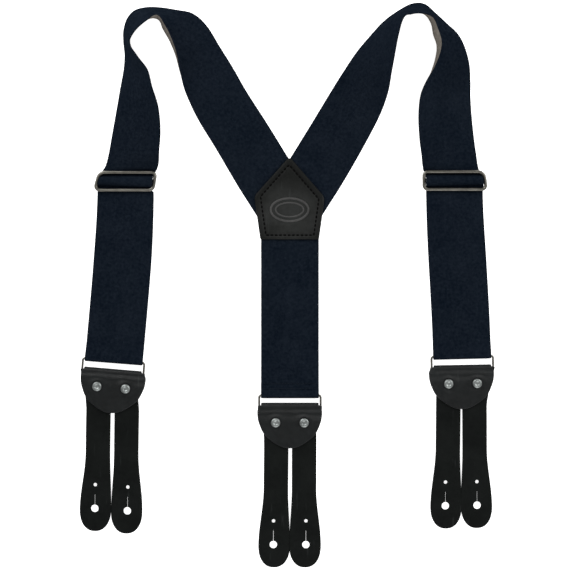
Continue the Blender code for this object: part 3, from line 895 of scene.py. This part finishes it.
def shoulder_strap(side):
    """Six lengths of webbing, split where the slide's travel changes what they follow."""
    outer = -1 if side == "left" else 1
    facing = -outer
    node = f"shoulder_strap_{side}"
    travel = JOINTS[f"slide_{side}_travel"]
    slide = f"slide_{side}"
    axis = Vector(travel["axis"]).normalized()
    ring_axis = Vector(JOINTS[f"ring_{side}_swing"]["pos_m"])
    centre = centre_of(f"slide_frame_{side}")
    length, at = leg_path(centre.to_2d(), ring_axis.to_2d(), END_TURN[side])
    square_turn = math.atan2(axis.x, -axis.y)  # of a row square to the slide's travel

    corners = [Vector((x * MM, y * MM, HIGH_PLY)) for x, y in MITRES[side]]
    mitre = [corners[0].lerp(corners[1], share) for share in SHARES]
    stations = [station + (1, LOW)[len(station) - 6 :] for station in STATIONS[side]]
    rows = [curled_row(*station) for station in catmull_rom(stations, ROWS_PER_STATION)]
    mitre_rows = [
        [a.lerp(b, k / MITRE_ROWS) for a, b in zip(mitre, rows[0])] for k in range(MITRE_ROWS)
    ]
    split = LOOP_TOP * ROWS_PER_STATION
    _, used = webbing_piece(
        f"strap_{side}_back", mitre_rows + rows[: split + 1], facing, node, "webbing"
    )

    seam = SLIDE_PITCH / 2  # the front and return plies start under the slide's lower bar
    anchor = length - STILL_ABOVE_RING

    def leg_row(distance, height):
        """Rows turn square to the travel at the seam and at the anchor."""
        spot, turn = at(distance)
        near = min(abs(distance - seam), abs(distance - anchor)) / SQUARE_REACH
        turn = square_turn + (turn - square_turn) * ease(near)
        share, aside = gathered(side, distance)
        return flat_row(spot + Vector((aside, 0)), turn, height, outer, WEB_WIDTH * share)

    hump = [point for point in over_slide_bar(centre.z) if point[0] < seam - 0.5 * MM]
    hump.append((seam, HIGH_PLY))
    over = rows[split:-1] + [leg_row(distance, height) for distance, height in hump]
    shoulder, used = webbing_piece(
        f"strap_{side}_shoulder", over, facing, node, None, used
    )
    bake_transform(shoulder)

    down, up = down_to_ring(length, seam), up_from_ring(length, seam)
    for label, profile in (("front", down), ("return", up)):
        grid = [leg_row(distance, height) for distance, height in cut(profile, seam, anchor)]
        ply, used = webbing_piece(
            f"strap_{side}_{label}", grid, facing, node, "webbing", used
        )
        still = leg_row(anchor, 0)[len(SHARES) // 2]
        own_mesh(ply)

    turn_over = cut(down, anchor, length) + round_ring(length) + cut(up, anchor, length)
    grid = [leg_row(distance, height) for distance, height in turn_over]
    webbing_piece(f"strap_{side}_fold", grid, facing, node, "webbing", used)

    wrap = SLIDE_BAR + GAP + WEB_THICK / 2
    lift = [(7.7, 0.75), (6.5, 0.78), (4.5, 1.1), (3.0, 1.75), (1.5, 2.55)]
    lift = [(distance * MM, height * MM) for distance, height in lift]
    tail = catmull_rom(lift + arc((0, centre.z), wrap, -90, -350, 12), 3)
    grid = [leg_row(distance, height) for distance, height in tail]
    webbing_piece(f"strap_{side}_tail", grid, facing, node, slide, used)


def back_strap():
    ring_axis = Vector(JOINTS["ring_back_swing"]["pos_m"])
    end = ring_axis.to_2d()
    length, at = leg_path(Vector((end.x, BACK_STRAP_TOP)), end, 0.0)
    rise_start, rise_end = length - BACK_RETURN - 20 * MM, length - BACK_RETURN - 4 * MM
    profile = straight(0, BACK_UNDER_PATCH, HIGH_PLY)
    for first, last, low, high in (
        (BACK_UNDER_PATCH, BACK_SETTLED, HIGH_PLY, LOW_PLY),
        (rise_start, rise_end, LOW_PLY, HIGH_PLY),
    ):
        steps = 8
        if first > profile[-1][0]:
            profile += straight(profile[-1][0], first, low)[1:]
        for k in range(1, steps + 1):
            share = k / steps
            profile.append((first + (last - first) * share, low + (high - low) * ease(share)))
    profile += down_to_ring(length, rise_end)[1:] + round_ring(length)
    profile += up_from_ring(length, length - BACK_RETURN)
    grid = [flat_row(*at(distance), height, 1) for distance, height in profile]
    webbing_piece("strap_back", grid, -1, "back_strap", "webbing")
    seams = []
    for above in BACK_SEAMS:
        spot, _ = at(length - above)
        top = height_near(profile, length - above) + WEB_THICK / 2
        half = WEB_WIDTH / 2 - 2 * MM
        seams.append([Vector((spot.x - half, spot.y, top)), Vector((spot.x + half, spot.y, top))])
    stitches(
        "strap_back_seam", seams, 2.6 * MM, 1.9 * MM, 0.2 * MM, NAVY_THREAD
    )


def height_near(profile, distance):
    """Height of the upper ply of a side-view profile at a distance."""
    return max(height for along, height in profile if abs(along - distance) < 3 * MM)


# ---------------------------------------------------------------- patch


def inset(points, distances):
    """A polygon's corners moved inwards by each side's distance. Anticlockwise."""
    out = []
    count = len(points)
    for i, corner in enumerate(points):
        before = (corner - points[i - 1]).normalized()
        after = (points[(i + 1) % count] - corner).normalized()
        turn = before.cross(after)
        move = before * (distances[i] / turn) - after * (distances[i - 1] / turn)
        out.append(corner - move)
    return out


def rounded(points, radii, steps=6):
    """A closed outline through the points, with each corner rounded."""
    out = []
    count = len(points)
    for i, corner in enumerate(points):
        radius = radii[i]
        before = (points[i - 1] - corner).normalized()
        after = (points[(i + 1) % count] - corner).normalized()
        half = before.angle(after) / 2
        centre = corner + (before + after).normalized() * (radius / math.sin(half))
        first = corner + before * (radius / math.tan(half)) - centre
        last = corner + after * (radius / math.tan(half)) - centre
        sweep = first.angle_signed(last)
        for step in range(steps + 1):
            out.append(centre + Matrix.Rotation(-sweep * step / steps, 2) @ first)
    return out


def dense(points, step):
    """The same closed outline with points at most a step apart."""
    out = []
    for a, b in zip(points, points[1:] + points[:1]):
        count = max(int(math.ceil((b - a).length / step)), 1)
        out += [a.lerp(b, k / count) for k in range(count)]
    return out


def patch_top(point, edge, seam):
    """Height of the patch's face above its flat middle plane, seam being the distance to it."""
    rise = LEATHER_THICK / 2 * rounding(edge, 0.7 * MM)
    groove = 0.45 * MM * math.exp(-((seam / (0.9 * MM)) ** 2))
    welt = 0.35 * MM * ease((edge - 0.3 * MM) / (1.5 * MM)) * ease(-seam / (2 * MM))
    pillow = 0.8 * MM * ease(seam / (13 * MM))
    wander = noise.noise(Vector((point.x * 60, point.y * 60, 0.3))) * 0.15 * MM
    return rise + welt - groove + pillow + wander * ease(edge / (3 * MM))


def leather_patch():
    corners = [Vector((x * MM, y * MM)) for x, y in PATCH_OUTLINE]
    radii = [radius * MM for radius in PATCH_CORNERS]
    outline = dense(rounded(corners, radii), 1.5 * MM)
    seam_corners = inset(corners, [distance * MM for distance in PATCH_SEAM_IN])
    middle = sum(corners, Vector((0, 0))) / len(corners)
    level = centre_of("patch_front").z
    shape = bmesh.new()
    # Heights follow from the distance to the outline and to the seam, not from the ring.
    placed = []
    for inwards in PATCH_RINGS:
        loop = []
        for point in outline:
            spot = point.lerp(middle, min(inwards * MM / PATCH_REACH, PATCH_INNERMOST))
            edge = outline_distance(spot, outline + outline[:1])
            top = level + patch_top(spot, edge, side_distance(spot, seam_corners))
            loop.append(shape.verts.new((spot.x, spot.y, top)))
        placed.append(loop)
    floor_ring = [shape.verts.new((p.x, p.y, level - LEATHER_THICK / 2)) for p in outline]
    crown = level + patch_top(middle, PATCH_REACH, PATCH_REACH)
    centre = shape.verts.new((middle.x, middle.y, crown))
    base = shape.verts.new((middle.x, middle.y, level - LEATHER_THICK / 2))
    bridge(shape, [[base], floor_ring, *placed, [centre]])
    mesh = to_mesh("patch_face", shape)
    piece("patch_face", mesh, "webbing", [PATCH_HIDE], "patch_front")
    seam_line = dense(rounded(seam_corners, [1.0 * MM] * len(corners)), 1.0 * MM)
    run = [Vector((p.x, p.y, level + patch_top(p, 4 * MM, 0) + 0.12 * MM)) for p in seam_line]
    stitches(
        "patch_seam", [run], 3.8 * MM, 2.1 * MM, 0.72 * MM, THREAD,
        closed=True, sink=0.7,
    )
    emblem(middle, level, seam_corners)


def side_distance(point, corners):
    """Distance from a point to a polygon's nearest side, negative outside. Anticlockwise."""
    sides = zip(corners, corners[1:] + corners[:1])
    return min((b - a).normalized().cross(point - a) for a, b in sides)


def emblem(middle, level, seam_corners):
    """A plain embossed oval with a smaller one inside it."""
    shape = bmesh.new()
    centre = Vector((middle.x, EMBLEM_Y))
    for half_width, half_height, radius in EMBLEM_OVALS:
        line = []
        for k in range(96):
            angle = 2 * math.pi * k / 96
            spot = Vector((math.cos(angle) * half_width, math.sin(angle) * half_height))
            spot = centre + spot * MM
            height = level + patch_top(spot, 10 * MM, side_distance(spot, seam_corners))
            line.append(Vector((spot.x, spot.y, height)))
        tube(shape, line, radius * MM, True, 12, 0.6)
    mesh = to_mesh("patch_emblem", shape)
    piece("patch_emblem", mesh, "webbing", [EMBLEM_HIDE])


# ---------------------------------------------------------------- wire hardware


def wire_rectangle(half_width, top, bottom, radii, skew=(0, 0, 0, 0)):
    """A closed wire's middle line; radii and skew start at the upper right, anticlockwise."""
    points = [
        Vector((half_width + skew[0] * MM, top)),
        Vector((-half_width + skew[1] * MM, top)),
        Vector((-half_width + skew[2] * MM, bottom)),
        Vector((half_width + skew[3] * MM, bottom)),
    ]
    outline = dense(rounded(points, [radius * MM for radius in radii], 8), 6 * MM)
    return [Vector((p.x, p.y, 0)) for p in outline]


def slides():
    for side in SIDES:
        body = f"slide_{side}"
        centre = centre_of(f"slide_frame_{side}")
        half = SLIDE_WINDOW / 2 + SLIDE_WIRE
        skew = SLIDE_SKEW[side]
        top, bottom = SLIDE_PITCH / 2, -SLIDE_PITCH / 2
        points = wire_rectangle(half, top, bottom, SLIDE_CORNERS[side], skew)
        points = [centre + p for p in points]
        wire_piece(
            f"slide_wire_{side}", points, SLIDE_WIRE, True, 18, body, f"slide_frame_{side}"
        )
        right = SLIDE_WINDOW / 2 + (skew[0] + skew[3]) / 2 * MM - GAP
        left = -SLIDE_WINDOW / 2 + (skew[1] + skew[2]) / 2 * MM + GAP
        bar = [centre + Vector((left + (right - left) * k / 12, 0, 0)) for k in range(13)]
        wire_piece(f"slide_rod_{side}", bar, SLIDE_BAR, False, 16, body, f"slide_bar_{side}")


def end_place(side):
    """The place of a button end: its ring's upper bar, with the end's turn in plan."""
    axis = Vector(JOINTS[f"ring_{side}_swing"]["pos_m"])
    return Matrix.Translation(axis) @ Matrix.Rotation(math.radians(END_TURN[side]), 4, "Z")


def rivet_place(side, outward, height):
    """A rivet's place on its button end, with the height measured from the ring's wire."""
    along = -RING_PITCH - RIVET_BELOW_FOLD
    return end_place(side) @ Matrix.Translation((outward * RIVET_SPACING / 2, along, height))


def ring(side):
    place = end_place(side)
    half = RING_WINDOW / 2 + RING_WIRE
    points = [place @ p for p in wire_rectangle(half, 0, -RING_PITCH, RING_CORNERS)]
    wire_piece(f"ring_wire_{side}", points, RING_WIRE, True, 16, f"ring_{side}", f"ring_{side}")


# ---------------------------------------------------------------- button ends


def flap(side):
    """A D-shaped flap folded round the ring's lower bar, soft and dimpled round its rivets."""
    place = end_place(side) @ Matrix.Translation((0, -RING_PITCH, 0))
    radius = FRONT_LEAF - RING_LEVEL
    fold_top = radius + LEATHER_THICK / 2
    bend_rows = [(fold_top / MM + k * 0.4, SHOULDER_HALF) for k in range(5)]
    outline = bend_rows + catmull_rom(FLAP_OUTLINE, 5)
    columns = 44
    spread = [math.sin(math.pi / 2 * (2 * k / columns - 1)) for k in range(columns + 1)]
    rivets = [Vector((x * RIVET_SPACING / 2, -RIVET_BELOW_FOLD)) for x in (-1, 1)]

    def leaf_row(distance, half, front):
        along = fold_top - distance * MM
        row = []
        for share in spread:
            spot = Vector((half * share * MM + sideways(distance), along))
            height = radius
            if front:
                below = -along
                swell = FLAP_SWELL * math.exp(-(((below - 5 * MM) / (4.5 * MM)) ** 2))
                ripple = noise.noise(Vector((spot.x * 60, spot.y * 80, 1.0 + len(side))))
                away = min((spot - rivet).length for rivet in rivets)
                puff = swell + ripple * FLAP_RIPPLE
                puff *= ease((away - 4 * MM) / (6 * MM))
                dimple = RIVET_DIMPLE * ease((9 * MM - away) / (5 * MM))
                height += (puff - dimple) * ease(below / (5 * MM))
            row.append(Vector((spot.x, spot.y, height if front else -height)))
        return row

    def sideways(distance):
        return FLAP_ASIDE[side] * MM * ease((distance - 2) / 4)

    front = [leaf_row(d, w, True) for d, w in reversed(outline)]
    back = [leaf_row(d, w, False) for d, w in outline]
    fold = []
    for along, height in arc((0, 0), radius, 90, -90, 28)[1:-1]:
        bulge = along * FOLD_STRETCH[side]
        clear = ease((abs(height) - SHOULDER_CLEAR) / (0.15 * MM))
        fold_half = (FOLD_HALF + (SHOULDER_HALF - FOLD_HALF) * clear) * MM
        fold.append([Vector((fold_half * share, bulge, height)) for share in spread])
    grid = front + fold + back
    edge = [Vector((w * MM + sideways(d), fold_top - d * MM)) for d, w in outline]
    edge += [Vector((sideways(d) - w * MM, fold_top - d * MM)) for d, w in reversed(outline)]
    depth = []
    count = len(front)
    for i, row in enumerate(grid):
        depths = []
        for j, point in enumerate(row):
            if i < count or i >= len(grid) - count:
                near = outline_distance(point.to_2d(), edge)
            else:
                near = min(abs(point.x - row[0].x), abs(point.x - row[-1].x))
            full = LEATHER_THICK / 2 * rounding(near, 0.5 * MM)
            on_rim = j in (0, columns) or i in (0, len(grid) - 1)
            depths.append(0.0 if on_rim else max(full, 0.1 * MM))
        depth.append(depths)
    normals = grid_normals(grid, 1)
    grid = [[place @ point for point in row] for row in grid]
    turn = place.to_3x3()
    normals = [[turn @ normal for normal in row] for row in normals]
    mesh = leaf(f"flap_hide_{side}", grid, depth, normals, 0)
    merge_points(mesh)
    item = piece(
        f"flap_hide_{side}", mesh, None, [FLAP_HIDE], f"flap_{side}"
    )
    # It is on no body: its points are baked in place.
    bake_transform(item)


def merge_points(mesh):
    """Joins the points that meet where a row narrows to nothing."""
    shape = bmesh.new()
    shape.from_mesh(mesh)
    bmesh.ops.remove_doubles(shape, verts=shape.verts, dist=0.00001)
    bmesh.ops.dissolve_degenerate(shape, edges=shape.edges, dist=0.000005)
    bmesh.ops.recalc_face_normals(shape, faces=shape.faces)
    shape.to_mesh(mesh)
    shape.free()


def outline_distance(point, edge):
    """Distance from a point to the nearest part of a line through points."""
    best = 1.0
    for a, b in zip(edge, edge[1:]):
        run = b - a
        share = 0.0 if run.length_squared == 0 else (point - a).dot(run) / run.length_squared
        best = min(best, (point - (a + run * min(max(share, 0), 1))).length)
    return best


def circle(centre, radius, steps, start=0.0, sweep=360.0):
    """Points round a circle, or along part of it when sweep is less."""
    full = abs(sweep) >= 360
    out = []
    for i in range(steps if full else steps + 1):
        angle = math.radians(start + sweep * i / steps)
        spot = (centre[0] + radius * math.cos(angle), centre[1] + radius * math.sin(angle))
        out.append(Vector(spot))
    return out


def tongue_outline(side, outward):
    """The tongue round its rivet at the origin; outward is -1 or +1 along X."""

    def side_edge(limit):
        """One edge, going down: straight, then out to the spoon."""
        steps = 16
        return [
            (SHANK_HALF + (limit - SHANK_HALF) * ease(i / steps),
             -SPOON_START - (SPOON_WIDEST - SPOON_START) * i / steps)
            for i in range(steps + 1)
        ]

    depth = TONGUE_END - SPOON_WIDEST
    inner_limit = SPOON_INNER[side]
    middle = (SPOON_OUTER - inner_limit) / 2
    radius = (SPOON_OUTER + inner_limit) / 2
    squareness = 0.88  # below 1 it fills out the rounded end
    tip = []
    steps = 32
    for i in range(1, steps):
        angle = math.pi * i / steps
        across = math.copysign(abs(math.cos(angle)) ** squareness, math.cos(angle))
        tip.append((middle + radius * across, -SPOON_WIDEST - depth * math.sin(angle)**squareness))
    top = [(x, y * SHANK_TOP / SHANK_HALF) for x, y in circle((0, 0), SHANK_HALF, 20, 180, -180)]
    outer = side_edge(SPOON_OUTER)
    inner = [(-across, along) for across, along in reversed(side_edge(inner_limit))]
    loop = top + outer + tip + inner
    return [Vector((outward * across, along)) for across, along in loop]


def buttonhole(outward):
    """A round hole with a slit above it, and the small stop hole in line with the slit."""
    across = outward * BUTTONHOLE_OUT
    low = -TONGUE_END + BUTTONHOLE_ABOVE_END
    opening = math.degrees(math.asin(SLIT_HALF / BUTTONHOLE_RADIUS))
    key = circle((across, low), BUTTONHOLE_RADIUS, 30, 90 + opening, 360 - 2 * opening - 0.001)
    top = low + BUTTONHOLE_RADIUS + SLIT_LENGTH
    key += [Vector((across + SLIT_HALF, top)), Vector((across - SLIT_HALF, top))]
    stop = circle((across, low + STOP_HOLE_ABOVE), STOP_HOLE_RADIUS, 20)
    return key, stop


def plate(name, outlines, thickness, bevel):
    """A flat plate with rounded edges, cut to an outline; further outlines are its holes."""
    data = bpy.data.curves.new(name, "CURVE")
    data.dimensions = "2D"
    data.fill_mode = "BOTH"
    for outline in outlines:
        spline = data.splines.new("POLY")
        spline.points.add(len(outline) - 1)
        for knot, point in zip(spline.points, outline):
            knot.co = (point[0], point[1], 0, 1)
        spline.use_cyclic_u = True
    data.extrude = thickness / 2 - bevel
    data.bevel_depth = bevel
    data.bevel_resolution = 3
    data.offset = -bevel
    guide = add(name, data)
    bpy.context.view_layer.update()
    graph = bpy.context.evaluated_depsgraph_get()
    mesh = bpy.data.meshes.new_from_object(guide.evaluated_get(graph))
    bpy.data.objects.remove(guide)
    bpy.data.curves.remove(data)
    shape = bmesh.new()
    shape.from_mesh(mesh)
    bmesh.ops.remove_doubles(shape, verts=shape.verts, dist=0.000002)
    return shape, mesh


def tongue(name, side, outward):
    rivet_hole = circle((0, 0), RIVET_POST + GAP, 24)
    outlines = [tongue_outline(side, outward), *buttonhole(outward), rivet_hole]
    shape, mesh = plate(name, outlines, TONGUE_THICK, 0.4 * MM)
    for k in range(1, TONGUE_ROWS):
        geometry = shape.verts[:] + shape.edges[:] + shape.faces[:]
        spot = (0, SHANK_HALF - (TONGUE_END + SHANK_HALF) * k / TONGUE_ROWS, 0)
        bmesh.ops.bisect_plane(shape, geom=geometry, dist=1e-6, plane_co=spot, plane_no=(0, 1, 0))
    for vert in shape.verts:
        below = -vert.co.y
        droop = TONGUE_DROOP * ease((below - UNDER_FLAP) / (50 * MM))
        warp = noise.noise(Vector((vert.co.x * 25, vert.co.y * 22, len(name) + outward)))
        warp *= TONGUE_WARP * ease((below - 30 * MM) / (40 * MM))
        vert.co.z = max(vert.co.z + warp - droop, SURFACE_GAP - TONGUE_LEVEL)
        under_flap, at_end = TONGUE_WANDER[name]
        wander = under_flap + (at_end - under_flap) * below / TONGUE_END
        vert.co.x += wander * MM * ease((below - 3 * MM) / (18 * MM))
    for face in shape.faces:
        if abs(face.normal.z) < 0.5:
            face.material_index = 1
    place = rivet_place(side, outward, TONGUE_LEVEL - RING_LEVEL)
    place = place @ Matrix.Rotation(math.radians(TONGUE_TURN[side]), 4, "Z")
    bmesh.ops.transform(shape, matrix=place, verts=shape.verts)
    shape.to_mesh(mesh)
    shape.free()
    label = f"tongue_hide_{name}"
    mesh.name = label
    mesh.materials.clear()
    body = f"tongue_{name}"
    piece(label, mesh, body, [TONGUE_HIDE, CUT_EDGE], f"tongue_{name}")


def rivet(name, side, outward):
    """The rivet's dished head and post, and the plain cap behind."""
    base = (FRONT_LEAF + LEATHER_THICK / 2 + GAP) / MM
    head = RIVET_HEAD / MM
    post = RIVET_POST / MM
    spot = rivet_place(side, outward, 0).translation
    centre = Vector((spot.x, spot.y, 0))
    face = [
        (0, base + 0.78), (0.7, base + 0.74), (1.3, base + 0.82), (1.7, base + 1.02),
        (2.2, base + 1.32), (2.7, base + 1.4), (3.3, base + 1.25), (3.8, base + 0.9),
        (4.1, base + 0.5), (head, base + 0.2), (head - 0.05, base), (post, base),
        (post, 0.9), (0, 0.9),
    ]
    cap = [
        (0, 0.6), (head - 0.3, 0.6), (head - 0.05, 0.45), (head, 0.25), (head - 0.2, 0.02), (0, 0),
    ]
    for part, node, profile in (("stud", "rivet", face), ("stud_cap", "rivet_cap", cap)):
        shape = bmesh.new()
        turned(shape, profile, centre)
        mesh = to_mesh(f"{part}_{name}", shape)
        piece(f"{part}_{name}", mesh, f"tab_{side}", [NICKEL], f"{node}_{name}")


def button_ends():
    for side, pair in TONGUES.items():
        ring(side)
        flap(side)
        for name, outward in pair:
            tongue(name, side, outward)
            rivet(name, side, outward)


camera()
studio()
for strap_side in SIDES:
    shoulder_strap(strap_side)
back_strap()
leather_patch()
backing = frame["nodes"]["patch_back"].data
backing.materials.clear()
backing.materials.append(PATCH_HIDE)
slides()
button_ends()
